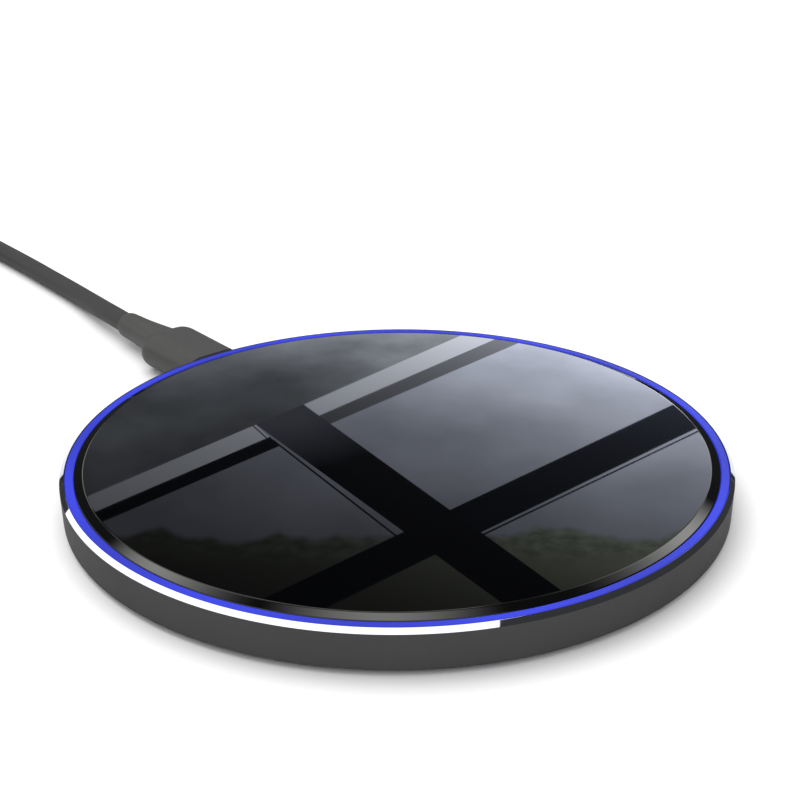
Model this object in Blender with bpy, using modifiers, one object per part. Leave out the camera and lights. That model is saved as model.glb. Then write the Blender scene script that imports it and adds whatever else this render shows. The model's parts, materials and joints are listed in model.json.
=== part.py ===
"""Round wireless charging pad, 100 mm across, with its plug-in USB lead.

The pad rests on z = 0 with its centre on the Z axis. Its socket faces +Y, and the lead leaves that way.
All sizes are in metres. Each object is one physical piece, and each name is what a person would call it.
"""

import math

import bmesh
import bpy
from mathutils import Vector

MM = 0.001
DEG = math.pi / 180

# Pad: outline and the heights of its layers, from the table up
PAD_RADIUS = 50.0 * MM
PAD_HEIGHT = 7.0 * MM
RIM_BOTTOM = 0.7 * MM
RIM_WALL_TOP = 6.0 * MM
RIM_TOP = 6.65 * MM
RIM_INNER_RADIUS = 49.3 * MM
RIM_FOOT_RADIUS = 49.8 * MM
BASE_BOTTOM = 0.5 * MM
BASE_TOP = 1.7 * MM
BASE_RADIUS = 49.1 * MM
BOARD_BOTTOM = 2.1 * MM
BOARD_TOP = 2.9 * MM
FRAME_BOTTOM = 4.4 * MM
FRAME_TOP = 5.2 * MM
FRAME_RADIUS = 46.8 * MM
GLASS_BOTTOM = 5.4 * MM
GLASS_EDGE_TOP = 6.55 * MM
GLASS_RADIUS = 47.95 * MM
GLASS_FLAT_RADIUS = 46.6 * MM
LIGHT_INNER_RADIUS = 48.05 * MM
LIGHT_OUTER_RADIUS = 49.2 * MM
LIGHT_TOP = 6.6 * MM
LIGHT_FLANGE_RADIUS = 46.95 * MM
LIGHT_FLANGE_BOTTOM = 4.45 * MM
LIGHT_FLANGE_TOP = 5.35 * MM

# Feet and screws share four stations
STATION_COUNT = 4
STATION_RADIUS = 38.0 * MM
STATION_AZIMUTH = 45.0 * DEG
FOOT_RADIUS = 4.5 * MM
FOOT_HEIGHT = 0.9 * MM
FOOT_RECESS_TOP = 0.95 * MM
SCREW_HEAD_RADIUS = 1.4 * MM
SCREW_SHANK_RADIUS = 0.7 * MM
SCREW_HEAD_BOTTOM = 1.0 * MM
SCREW_HEAD_TOP = 1.5 * MM
SCREW_TIP = 4.2 * MM
PILLAR_RADIUS = 1.9 * MM
PILLAR_TOP = 2.6 * MM
PILLAR_SHOULDER_RADIUS = 3.2 * MM
PILLAR_SHOULDER_TOP = 2.05 * MM
BOARD_HOLE_RADIUS = 2.2 * MM

# Coil, its shield and the sheets that hold it
COIL_WIRE = 1.0 * MM
COIL_TURNS = 10
COIL_INNER_RADIUS = 11.0 * MM
COIL_PITCH = 1.1 * MM
COIL_HEIGHT = 3.55 * MM
COIL_LEAD_RADIUS = 0.8
COIL_POINTS_PER_TURN = 18
COIL_SETTLING_TURN = 0.4
COIL_FIRST_RADIUS = COIL_INNER_RADIUS - 0.9 * MM
COIL_LEAD_IN_MM = (
    (0.0, -25.3, 3.5), (0.0, -24.2, 4.1), (0.0, -23.4, 4.5), (0.0, -13.4, 4.5), (0.0, -11.6, 4.45),
    (0.0, -10.0, 4.15), (0.7, -9.3, 3.8), (1.9, -9.6, 3.58),
)
COIL_LEAD_OUT_MM = ((9.2, -23.6, 3.55), (12.0, -24.4, 3.55))
SHIELD_RADIUS = 23.2 * MM
SHIELD_BOTTOM = 2.0 * MM
SHIELD_TOP = 2.8 * MM
BOARD_INNER_RADIUS = 24.0 * MM
BOARD_OUTER_RADIUS = 49.0 * MM

# Components on the board: their size, then how far out and where round they sit, in millimetres and degrees
COMPONENTS = (
    ("controller_chip", (5.0, 5.0, 0.85), 34.5, 72),
    ("driver_chip_1", (3.3, 3.3, 0.9), 31.0, 95),
    ("driver_chip_2", (3.3, 3.3, 0.9), 36.0, 95),
    ("power_inductor", (4.0, 4.0, 1.3), 34.0, 110),
    ("crystal", (2.5, 3.2, 0.8), 40.5, 66),
    ("resonant_capacitor_1", (3.2, 1.6, 1.25), 32.0, 255),
    ("resonant_capacitor_2", (3.2, 1.6, 1.25), 32.0, 260),
    ("resonant_capacitor_3", (3.2, 1.6, 1.25), 32.0, 265),
    ("resonant_capacitor_4", (3.2, 1.6, 1.25), 32.0, 270),
)

# Lights round the board's edge
LED_COUNT = 8
LED_RADIUS = 48.4 * MM
LED_SIZE = (1.0 * MM, 1.8 * MM, 0.8 * MM)

# Socket and plug, to the USB-C outline
PORT_HEIGHT = 3.5 * MM
SOCKET_WIDTH = 8.94 * MM
SOCKET_THICKNESS = 3.2 * MM
SOCKET_SKIN = 0.3 * MM
SOCKET_MOUTH = 49.6 * MM
SOCKET_BACK = 42.3 * MM
TONGUE_WIDTH = 6.69 * MM
TONGUE_THICKNESS = 0.7 * MM
TONGUE_TIP = 48.0 * MM
PLUG_WIDTH = 8.25 * MM
PLUG_THICKNESS = 2.4 * MM
PLUG_SKIN = 0.3 * MM
PLUG_TIP = 43.75 * MM
PLUG_BODY_FRONT = 50.3 * MM
PLUG_BODY_BACK = 66.1 * MM
PLUG_BODY_WIDTH = 11.8 * MM
PLUG_BODY_THICKNESS = 6.2 * MM
PLUG_BODY_TAPER = 0.5 * MM
RELIEF_END = 79.7 * MM

# Cord: the length that is not lying straight is wound into a neat coil
CORD_DIAMETER = 3.9 * MM
CORD_RADIUS = CORD_DIAMETER / 2
CORD_STEP = 2.2 * CORD_DIAMETER
HANK_CENTRE = (-22.0 * MM, 180.0 * MM)
HANK_OUTER_TURN = 26.2 * MM
HANK_INNER_TURN = HANK_OUTER_TURN - 2 * CORD_DIAMETER
HANK_HEIGHT = 2 * CORD_DIAMETER
STRAP_WIDTH = 7.0 * MM
STRAP_SKIN = 0.5 * MM
STRAP_GAP = 0.1 * MM
LEAD_ROUTE_MM = (
    (0.0, 80.0, 3.5), (0.35, 84.0, 3.42), (0.7, 88.0, 3.25), (1.5, 94.0, 2.8), (2.4, 100.5, 2.3),
    (3.1, 108.0, 2.0), (3.5, 118.0, 1.95), (3.85, 128.0, 1.95), (4.1, 142.0, 1.95), (4.2, 154.0, 1.95),
    (4.2, 164.8, 1.95),
)
TAIL_ROUTE_MM = (
    (-48.2, 164.8, 4.6), (-48.2, 160.0, 3.4), (-48.3, 154.0, 2.4), (-48.5, 148.0, 2.3), (-48.6, 142.0, 3.2),
    (-48.6, 136.0, 4.0),
)

# Far-end plug, to the USB-A outline, lying beside the coil
FAR_PLUG_X = -48.6 * MM
FAR_PLUG_HEIGHT = 4.1 * MM
FAR_RELIEF_START = 135.7 * MM
FAR_BODY_BACK = 123.0 * MM
FAR_BODY_FRONT = 101.0 * MM
FAR_SHELL_FRONT = 89.2 * MM
FAR_SHELL_WIDTH = 12.0 * MM
FAR_SHELL_THICKNESS = 4.5 * MM
FAR_SHELL_SKIN = 0.3 * MM
FAR_BODY_WIDTH = 15.4 * MM
FAR_BODY_THICKNESS = 7.8 * MM

ROUND_STEPS = 72
SMALL_STEPS = 20
SHARP_ANGLE = 35 * DEG


def clear_scene():
    """Empty the file without closing it."""
    for thing in list(bpy.data.objects):
        bpy.data.objects.remove(thing, do_unlink=True)


def new_collection(name):
    """A collection linked to the scene."""
    group = bpy.data.collections.new(name)
    bpy.context.scene.collection.children.link(group)
    return group


def make_material(name, colour, roughness, metallic=0.0):
    """A Principled material of one colour."""
    paint = bpy.data.materials.new(name)
    paint.use_nodes = True
    shader = paint.node_tree.nodes["Principled BSDF"]
    shader.inputs["Base Color"].default_value = (*colour, 1.0)
    shader.inputs["Roughness"].default_value = roughness
    shader.inputs["Metallic"].default_value = metallic
    paint.diffuse_color = (*colour, 1.0)
    return paint


clear_scene()
PARTS = new_collection("wireless_charging_pad")
CUTTERS = new_collection("cutters")

BLACK_GLASS = make_material("black_glass", (0.006, 0.006, 0.008), 0.03)
GREY_METAL = make_material("grey_anodised_aluminium", (0.07, 0.07, 0.07), 0.4, 0.9)
BLUE_LIGHT = make_material("blue_light_guide", (0.05, 0.06, 0.85), 0.25)
BLACK_PLASTIC = make_material("black_plastic", (0.02, 0.02, 0.02), 0.5)
GREY_PLASTIC = make_material("grey_plastic", (0.075, 0.075, 0.072), 0.55)
FOOT_RUBBER = make_material("foot_rubber", (0.03, 0.03, 0.03), 0.85)
CORD_JACKET = make_material("cord_jacket", (0.075, 0.075, 0.075), 0.6)
STEEL = make_material("plated_steel", (0.7, 0.7, 0.7), 0.25, 1.0)
SCREW_STEEL = make_material("screw_steel", (0.25, 0.25, 0.27), 0.35, 1.0)
COPPER = make_material("enamelled_copper", (0.75, 0.33, 0.12), 0.35, 1.0)
GOLD = make_material("gold_contact", (0.85, 0.62, 0.22), 0.25, 1.0)
FERRITE = make_material("ferrite", (0.06, 0.055, 0.05), 0.7)
ADHESIVE = make_material("adhesive_film", (0.75, 0.72, 0.6), 0.5)
BOARD_GREEN = make_material("circuit_board", (0.02, 0.14, 0.06), 0.45)
CHIP_BLACK = make_material("chip_resin", (0.025, 0.025, 0.028), 0.6)
CERAMIC = make_material("capacitor_ceramic", (0.42, 0.28, 0.17), 0.5)
LED_LENS = make_material("led_lens", (0.75, 0.78, 0.7), 0.3)
TIE_BLACK = make_material("tie_strap", (0.03, 0.03, 0.035), 0.8)


def add_object(name, data, paint, group=None):
    """Put a mesh or curve in the scene as one named piece."""
    thing = bpy.data.objects.new(name, data)
    (group or PARTS).objects.link(thing)
    if paint:
        data.materials.append(paint)
    return thing


def hide_cutter(cutter):
    """Mark an object as a tool that shapes others and is no piece itself."""
    cutter.hide_render = True
    cutter.display_type = "WIRE"


def turned(name, profile, paint, steps=ROUND_STEPS, closed=True, group=None):
    """A solid of revolution. The profile is (radius, height) pairs, down the outer side first."""
    mesh = bpy.data.meshes.new(name)
    builder = bmesh.new()
    points = [builder.verts.new((radius, 0.0, height)) for radius, height in profile]
    for first, second in zip(points, points[1:]):
        builder.edges.new((first, second))
    if closed:
        builder.edges.new((points[-1], points[0]))
    builder.to_mesh(mesh)
    builder.free()
    thing = add_object(name, mesh, paint, group)
    screw = thing.modifiers.new("turn", "SCREW")
    screw.axis = "Z"
    screw.steps = steps
    screw.render_steps = steps
    screw.use_merge_vertices = True
    screw.merge_threshold = 0.00001
    return thing


def disc(name, radius, low, high, paint, steps=ROUND_STEPS, group=None):
    """A plain round plate."""
    return turned(name, ((0.0, high), (radius, high), (radius, low), (0.0, low)), paint, steps, False, group)


def ring(name, outer, inner, low, high, paint, steps=ROUND_STEPS, group=None):
    """A flat washer shape."""
    return turned(name, ((outer, high), (outer, low), (inner, low), (inner, high)), paint, steps, True, group)


def rounded_outline(width, height, corner, corner_points=5):
    """Points round a rectangle whose corners are arcs, counter-clockwise from the right."""
    points = []
    for quarter in range(4):
        side_x = 1 if quarter in (0, 3) else -1
        side_y = 1 if quarter in (0, 1) else -1
        for step in range(corner_points):
            angle = (quarter + step / (corner_points - 1)) * math.pi / 2
            x = side_x * (width / 2 - corner) + corner * math.cos(angle)
            y = side_y * (height / 2 - corner) + corner * math.sin(angle)
            points.append((x, y))
    return points


def prism(name, outlines, start, end, paint, group=None):
    """Outlines in the XZ plane, the second one a hole, run along Y from start to end."""
    curve = bpy.data.curves.new(name, "CURVE")
    curve.dimensions = "2D"
    curve.fill_mode = "BOTH"
    curve.extrude = abs(end - start) / 2
    for outline in outlines:
        spline = curve.splines.new("POLY")
        spline.points.add(len(outline) - 1)
        for point, (x, y) in zip(spline.points, outline):
            point.co = (x, y, 0.0, 1.0)
        spline.use_cyclic_u = True
    thing = add_object(name, curve, paint, group)
    thing.rotation_euler = (math.pi / 2, 0.0, 0.0)
    thing.location = (0.0, (start + end) / 2, PORT_HEIGHT)
    return thing


def as_mesh(thing):
    """Replace a curve by its welded mesh, in the same place, so that it can be cut or cut others."""
    bpy.context.view_layer.update()
    graph = bpy.context.evaluated_depsgraph_get()
    mesh = bpy.data.meshes.new_from_object(thing.evaluated_get(graph))
    builder = bmesh.new()
    builder.from_mesh(mesh)
    bmesh.ops.remove_doubles(builder, verts=builder.verts, dist=0.000001)
    bmesh.ops.recalc_face_normals(builder, faces=builder.faces)
    builder.to_mesh(mesh)
    builder.free()
    name, place, group = thing.name, thing.matrix_world.copy(), thing.users_collection[0]
    bpy.data.objects.remove(thing, do_unlink=True)
    solid = bpy.data.objects.new(name, mesh)
    group.objects.link(solid)
    solid.matrix_world = place
    return solid


def box(name, size, centre, paint, turn=0.0, group=None):
    """A block of the given size, turned about Z."""
    mesh = bpy.data.meshes.new(name)
    builder = bmesh.new()
    bmesh.ops.create_cube(builder, size=1.0)
    bmesh.ops.scale(builder, vec=Vector(size), verts=builder.verts)
    builder.to_mesh(mesh)
    builder.free()
    thing = add_object(name, mesh, paint, group)
    thing.location = centre
    thing.rotation_euler = (0.0, 0.0, turn)
    return thing


def combine(target, tool, operation):
    """Cut a tool out of a piece, or join it on."""
    hide_cutter(tool)
    step = target.modifiers.new(operation.lower() + "_" + tool.name, "BOOLEAN")
    step.operation = operation
    step.object = tool
    step.solver = "EXACT"


def loft(name, sections, paint, centre_x, centre_z):
    """A skin over rounded-rectangle sections, each (y, width, height, corner), with closed ends."""
    mesh = bpy.data.meshes.new(name)
    builder = bmesh.new()
    loops = []
    for y, width, height, corner in sections:
        outline = rounded_outline(width, height, corner)
        loops.append([builder.verts.new((centre_x + x, y, centre_z + z)) for x, z in outline])
    for near, far in zip(loops, loops[1:]):
        for index in range(len(near)):
            after = (index + 1) % len(near)
            builder.faces.new((near[index], near[after], far[after], far[index]))
    builder.faces.new(loops[0])
    builder.faces.new(loops[-1])
    bmesh.ops.recalc_face_normals(builder, faces=builder.faces)
    builder.to_mesh(mesh)
    builder.free()
    return add_object(name, mesh, paint)


def smooth_route(points, step):
    """Evenly spaced points on the smooth curve through the given ones."""
    knots = [Vector(point) for point in points]
    ends = [2 * knots[0] - knots[1], *knots, 2 * knots[-1] - knots[-2]]
    dense = []
    for before, start, end, after in zip(ends, ends[1:], ends[2:], ends[3:]):
        for part in range(20):
            t = part / 20
            pull = (end - before) * t + (2 * before - 5 * start + 4 * end - after) * t**2
            dense.append(start + 0.5 * (pull + (3 * start - before - 3 * end + after) * t**3))
    dense.append(knots[-1])
    lengths = [0.0]
    for first, second in zip(dense, dense[1:]):
        lengths.append(lengths[-1] + (second - first).length)
    count = max(2, round(lengths[-1] / step))
    route = []
    index = 0
    for number in range(count + 1):
        wanted = lengths[-1] * number / count
        while index < len(dense) - 2 and lengths[index + 1] < wanted:
            index += 1
        span = lengths[index + 1] - lengths[index]
        route.append(dense[index].lerp(dense[index + 1], (wanted - lengths[index]) / span))
    return route


def tube(name, route, radius, paint, resolution=2, scales=None):
    """A round wire or cord along the points of a route."""
    curve = bpy.data.curves.new(name, "CURVE")
    curve.dimensions = "3D"
    curve.bevel_depth = radius
    curve.bevel_resolution = resolution
    curve.use_fill_caps = True
    spline = curve.splines.new("POLY")
    spline.points.add(len(route) - 1)
    for index, place in enumerate(route):
        spline.points[index].co = (*place, 1.0)
        spline.points[index].radius = scales[index] if scales else 1.0
    return add_object(name, curve, paint)


def at_polar(radius, azimuth, height):
    """A point given by its distance from the axis, its direction and its height."""
    return Vector((radius * math.cos(azimuth), radius * math.sin(azimuth), height))


def station_places(height=0.0):
    """Where the feet and screws stand."""
    turn = 2 * math.pi / STATION_COUNT
    return [at_polar(STATION_RADIUS, STATION_AZIMUTH + turn * number, height) for number in range(STATION_COUNT)]


def copies(source, places, name):
    """One object at each place, all sharing the source's mesh and steps."""
    made = [source]
    for _ in places[1:]:
        twin = source.copy()
        source.users_collection[0].objects.link(twin)
        made.append(twin)
    for number, (thing, place) in enumerate(zip(made, places), start=1):
        thing.location = place
        thing.name = f"{name}_{number}"
    return made


def port_cutter(name, width, thickness, start, end):
    """A slot with round ends, run along Y at the socket's height."""
    outline = rounded_outline(width, thickness, thickness / 2)
    return as_mesh(prism(name, [outline], start, end, None, CUTTERS))


def make_glass():
    """Black glass disc whose edge slopes down to the light."""
    profile = (
        (0.0, PAD_HEIGHT),
        (GLASS_FLAT_RADIUS, PAD_HEIGHT),
        (GLASS_RADIUS - 0.35 * MM, GLASS_EDGE_TOP + 0.16 * MM),
        (GLASS_RADIUS, GLASS_EDGE_TOP),
        (GLASS_RADIUS, GLASS_BOTTOM),
        (0.0, GLASS_BOTTOM),
    )
    turned("top_glass", profile, BLACK_GLASS, closed=False)
    disc("glass_adhesive", LIGHT_FLANGE_RADIUS - 0.5 * MM, FRAME_TOP + 0.05 * MM, GLASS_BOTTOM - 0.05 * MM, ADHESIVE)


def make_light_guide():
    """Blue ring that shows between glass and rim. Its flange under the glass takes in the lights' glow."""
    profile = (
        (LIGHT_OUTER_RADIUS, LIGHT_TOP),
        (LIGHT_OUTER_RADIUS, LIGHT_FLANGE_BOTTOM),
        (LIGHT_FLANGE_RADIUS, LIGHT_FLANGE_BOTTOM),
        (LIGHT_FLANGE_RADIUS, LIGHT_FLANGE_TOP),
        (LIGHT_INNER_RADIUS, LIGHT_FLANGE_TOP),
        (LIGHT_INNER_RADIUS, LIGHT_TOP),
    )
    guide = turned("light_guide_ring", profile, BLUE_LIGHT)
    notch_top = PORT_HEIGHT + SOCKET_THICKNESS / 2 + 0.15 * MM
    notch_bottom = LIGHT_FLANGE_BOTTOM - 1.0 * MM
    notch_size = (SOCKET_WIDTH + 1.0 * MM, 8.0 * MM, notch_top - notch_bottom)
    notch_place = (0.0, LIGHT_OUTER_RADIUS, (notch_top + notch_bottom) / 2)
    combine(guide, box("light_guide_notch", notch_size, notch_place, None, group=CUTTERS), "DIFFERENCE")


def make_rim():
    """Metal band round the pad, with a polished bevel on top and the slot for the socket."""
    profile = (
        (RIM_INNER_RADIUS, RIM_TOP),
        (PAD_RADIUS - 0.05 * MM, RIM_WALL_TOP + 0.05 * MM),
        (PAD_RADIUS, RIM_WALL_TOP - 0.1 * MM),
        (RIM_FOOT_RADIUS + 0.1 * MM, RIM_BOTTOM + 0.25 * MM),
        (RIM_FOOT_RADIUS - 0.15 * MM, RIM_BOTTOM),
        (RIM_INNER_RADIUS, RIM_BOTTOM),
    )
    rim = turned("housing_rim", profile, GREY_METAL)
    slot = port_cutter("rim_slot", SOCKET_WIDTH + 0.2 * MM, SOCKET_THICKNESS + 0.2 * MM, 45 * MM, 55 * MM)
    combine(rim, slot, "DIFFERENCE")


def make_base():
    """Bottom cover with a recess, a countersink and a hollow pillar at each station."""
    profile = (
        (0.0, SHIELD_BOTTOM - 0.05 * MM),
        (SHIELD_RADIUS - 0.5 * MM, SHIELD_BOTTOM - 0.05 * MM),
        (SHIELD_RADIUS, BASE_TOP),
        (BASE_RADIUS, BASE_TOP),
        (BASE_RADIUS, BASE_BOTTOM + 0.3 * MM),
        (BASE_RADIUS - 0.4 * MM, BASE_BOTTOM),
        (0.0, BASE_BOTTOM),
    )
    base = turned("base_cover", profile, BLACK_PLASTIC, closed=False)
    root = BASE_TOP - 0.2 * MM
    pillar_profile = (
        (0.0, PILLAR_TOP),
        (PILLAR_RADIUS, PILLAR_TOP),
        (PILLAR_RADIUS, PILLAR_SHOULDER_TOP),
        (PILLAR_SHOULDER_RADIUS, PILLAR_SHOULDER_TOP),
        (PILLAR_SHOULDER_RADIUS, root),
        (0.0, root),
    )
    hole_radius = SCREW_SHANK_RADIUS + 0.2 * MM
    sink_radius = SCREW_HEAD_RADIUS + 0.2 * MM
    recess_radius = FOOT_RADIUS + 0.2 * MM
    hole_profile = (
        (0.0, PILLAR_TOP + 1.0 * MM),
        (hole_radius, PILLAR_TOP + 1.0 * MM),
        (hole_radius, SCREW_HEAD_TOP + 0.05 * MM),
        (sink_radius, SCREW_HEAD_TOP + 0.05 * MM),
        (sink_radius, FOOT_RECESS_TOP),
        (recess_radius, FOOT_RECESS_TOP),
        (recess_radius, -1.0 * MM),
        (0.0, -1.0 * MM),
    )
    pillar = turned("base_pillar", pillar_profile, None, SMALL_STEPS, False, CUTTERS)
    hole = turned("station_hole", hole_profile, None, SMALL_STEPS, False, CUTTERS)
    for tool in copies(pillar, station_places(), "base_pillar"):
        combine(base, tool, "UNION")
    for tool in copies(hole, station_places(), "station_hole"):
        combine(base, tool, "DIFFERENCE")


def make_feet_and_screws():
    """A rubber foot over each screw's head."""
    foot_profile = (
        (0.0, FOOT_HEIGHT),
        (FOOT_RADIUS, FOOT_HEIGHT),
        (FOOT_RADIUS, 0.25 * MM),
        (FOOT_RADIUS - 0.25 * MM, 0.0),
        (0.0, 0.0),
    )
    shank_end = SCREW_TIP - 0.6 * MM
    screw_profile = (
        (0.0, SCREW_TIP),
        (SCREW_SHANK_RADIUS * 0.3, SCREW_TIP),
        (SCREW_SHANK_RADIUS, shank_end),
        (SCREW_SHANK_RADIUS, SCREW_HEAD_TOP),
        (SCREW_HEAD_RADIUS, SCREW_HEAD_TOP),
        (SCREW_HEAD_RADIUS, SCREW_HEAD_BOTTOM),
        (0.0, SCREW_HEAD_BOTTOM),
    )
    foot = turned("foot", foot_profile, FOOT_RUBBER, SMALL_STEPS, False)
    screw = turned("case_screw", screw_profile, SCREW_STEEL, 12, False)
    copies(foot, station_places(), "foot")
    copies(screw, station_places(), "case_screw")


def make_inner_frame():
    """Plate under the glass, with a skirt on the board, a boss for each screw and a groove for a wire."""
    skirt_outer = LIGHT_FLANGE_RADIUS + 0.4 * MM
    skirt_inner = skirt_outer - 1.6 * MM
    skirt_bottom = BOARD_TOP + 0.1 * MM
    profile = (
        (0.0, FRAME_TOP),
        (FRAME_RADIUS, FRAME_TOP),
        (FRAME_RADIUS, FRAME_BOTTOM),
        (skirt_outer, FRAME_BOTTOM),
        (skirt_outer, skirt_bottom),
        (skirt_inner, skirt_bottom),
        (skirt_inner, FRAME_BOTTOM),
        (0.0, FRAME_BOTTOM),
    )
    frame = turned("inner_frame", profile, BLACK_PLASTIC, closed=False)
    boss = disc("frame_boss", PILLAR_RADIUS, PILLAR_TOP + 0.05 * MM, FRAME_BOTTOM + 0.2 * MM, None, SMALL_STEPS, CUTTERS)
    for tool in copies(boss, station_places(), "frame_boss"):
        combine(frame, tool, "UNION")
    pilot_radius = SCREW_SHANK_RADIUS + 0.1 * MM
    pilot = disc("screw_pilot", pilot_radius, PILLAR_TOP - 1.0 * MM, SCREW_TIP + 0.2 * MM, None, SMALL_STEPS, CUTTERS)
    for tool in copies(pilot, station_places(), "screw_pilot"):
        combine(frame, tool, "DIFFERENCE")
    notch_size = (SOCKET_WIDTH + 1.0 * MM, 12.0 * MM, 4.0 * MM)
    notch_place = (0.0, SOCKET_BACK - 0.7 * MM + notch_size[1] / 2, FRAME_BOTTOM)
    combine(frame, box("frame_notch", notch_size, notch_place, None, group=CUTTERS), "DIFFERENCE")
    groove_size = (1.6 * MM, 17.0 * MM, 1.2 * MM)
    groove_place = (0.0, -16.5 * MM, FRAME_BOTTOM)
    combine(frame, box("wire_groove", groove_size, groove_place, None, group=CUTTERS), "DIFFERENCE")


def make_board():
    """Ring-shaped circuit board, holed at the stations and notched round the socket."""
    board = ring("circuit_board", BOARD_OUTER_RADIUS, BOARD_INNER_RADIUS, BOARD_BOTTOM, BOARD_TOP, BOARD_GREEN)
    low, high = BOARD_BOTTOM - 1.0 * MM, BOARD_TOP + 1.0 * MM
    hole = disc("board_hole", BOARD_HOLE_RADIUS, low, high, None, SMALL_STEPS, CUTTERS)
    for tool in copies(hole, station_places(), "board_hole"):
        combine(board, tool, "DIFFERENCE")
    notch_size = (SOCKET_WIDTH + 0.3 * MM, 12.0 * MM, 4.0 * MM)
    notch_place = (0.0, SOCKET_BACK - 0.2 * MM + notch_size[1] / 2, BOARD_TOP)
    combine(board, box("board_notch", notch_size, notch_place, None, group=CUTTERS), "DIFFERENCE")


def board_part(name, size, radius, azimuth_deg, paint):
    """A component soldered on the board, square to the radius through it."""
    azimuth = azimuth_deg * DEG
    place = at_polar(radius, azimuth, BOARD_TOP + 0.05 * MM + size[2] / 2)
    box(name, size, place, paint, azimuth)


def make_electronics():
    """What drives the coil and the lights."""
    paints = {"chip": CHIP_BLACK, "inductor": FERRITE, "crystal": STEEL, "capacitor": CERAMIC}
    for name, size_mm, radius_mm, azimuth_deg in COMPONENTS:
        paint = next(paint for word, paint in paints.items() if word in name)
        board_part(name, Vector(size_mm) * MM, radius_mm * MM, azimuth_deg, paint)
    for number in range(LED_COUNT):
        board_part(f"led_{number + 1}", LED_SIZE, LED_RADIUS, (number + 0.5) * 360 / LED_COUNT, LED_LENS)


def make_coil():
    """Flat spiral of insulated wire, both ends brought out to the board on the -Y side."""
    turn_points = COIL_TURNS * COIL_POINTS_PER_TURN
    start = 282 * DEG
    route = [Vector(point) * MM for point in COIL_LEAD_IN_MM]
    scales = [COIL_LEAD_RADIUS] * len(route)
    for number in range(1, turn_points + 1):
        travel = number / COIL_POINTS_PER_TURN
        settled = min(1.0, travel / COIL_SETTLING_TURN)
        first_radius = COIL_FIRST_RADIUS * (1 - settled) + COIL_INNER_RADIUS * settled
        route.append(at_polar(first_radius + COIL_PITCH * travel, start + 2 * math.pi * travel, COIL_HEIGHT))
        scales.append(1.0)
    route += [Vector(point) * MM for point in COIL_LEAD_OUT_MM]
    scales += [1.0, COIL_LEAD_RADIUS]
    tube("charging_coil", route, COIL_WIRE / 2, COPPER, 1, scales)
    disc("ferrite_shield", SHIELD_RADIUS, SHIELD_BOTTOM, SHIELD_TOP, FERRITE, 48)
    outer = COIL_INNER_RADIUS + COIL_PITCH * COIL_TURNS
    ring("coil_adhesive", outer, COIL_INNER_RADIUS - 1.0 * MM, SHIELD_TOP + 0.05 * MM, SHIELD_TOP + 0.15 * MM,
         ADHESIVE, 48)
    disc("temperature_sensor", 1.0 * MM, SHIELD_TOP + 0.05 * MM, SHIELD_TOP + 0.9 * MM, CHIP_BLACK, 12)


def make_socket():
    """USB-C socket: a steel shell round a moulded block that carries the tongue."""
    outer = rounded_outline(SOCKET_WIDTH, SOCKET_THICKNESS, SOCKET_THICKNESS / 2)
    inner_width = SOCKET_WIDTH - 2 * SOCKET_SKIN
    inner_thickness = SOCKET_THICKNESS - 2 * SOCKET_SKIN
    inner = rounded_outline(inner_width, inner_thickness, inner_thickness / 2)
    prism("usb_c_socket_shell", [outer, inner], SOCKET_BACK, SOCKET_MOUTH, STEEL)
    block_front = SOCKET_BACK + 1.1 * MM
    block_gap = 0.2 * MM
    block_thickness = inner_thickness - block_gap
    block = rounded_outline(inner_width - block_gap, block_thickness, block_thickness / 2)
    body = as_mesh(prism("socket_tongue", [block], SOCKET_BACK, block_front, CHIP_BLACK))
    body.data.materials.append(CHIP_BLACK)
    tongue_length = TONGUE_TIP - block_front + 0.4 * MM
    tongue_place = (0.0, TONGUE_TIP - tongue_length / 2, PORT_HEIGHT)
    tongue = box("tongue_blade", (TONGUE_WIDTH, tongue_length, TONGUE_THICKNESS), tongue_place, None, group=CUTTERS)
    combine(body, tongue, "UNION")


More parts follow.
